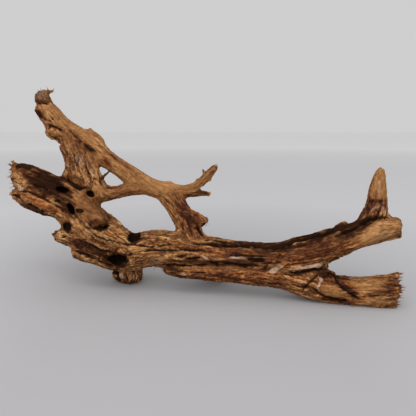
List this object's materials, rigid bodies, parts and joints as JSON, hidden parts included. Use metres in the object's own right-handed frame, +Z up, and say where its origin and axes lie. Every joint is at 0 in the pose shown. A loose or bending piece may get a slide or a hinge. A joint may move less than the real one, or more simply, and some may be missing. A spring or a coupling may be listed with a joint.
{
  "type": "driftwood",
  "caption": "Branching piece of driftwood with a low trunk, a tall root at one end, an upright spike at the other and an open loop between them.",
  "frame": {"origin": "centre of the wood's footprint box, on the floor", "axes": "+X along the trunk towards the forked end, +Y to the back, away from the side seen in the picture, +Z up"},
  "size_m": [0.4066, 0.1426, 0.2149],
  "materials": {
    "driftwood": "bare weathered wood, matt, with a dark grain"
  },
  "bodies": {
    "root": {"driftwood": "driftwood"}
  },
  "joints": []
}
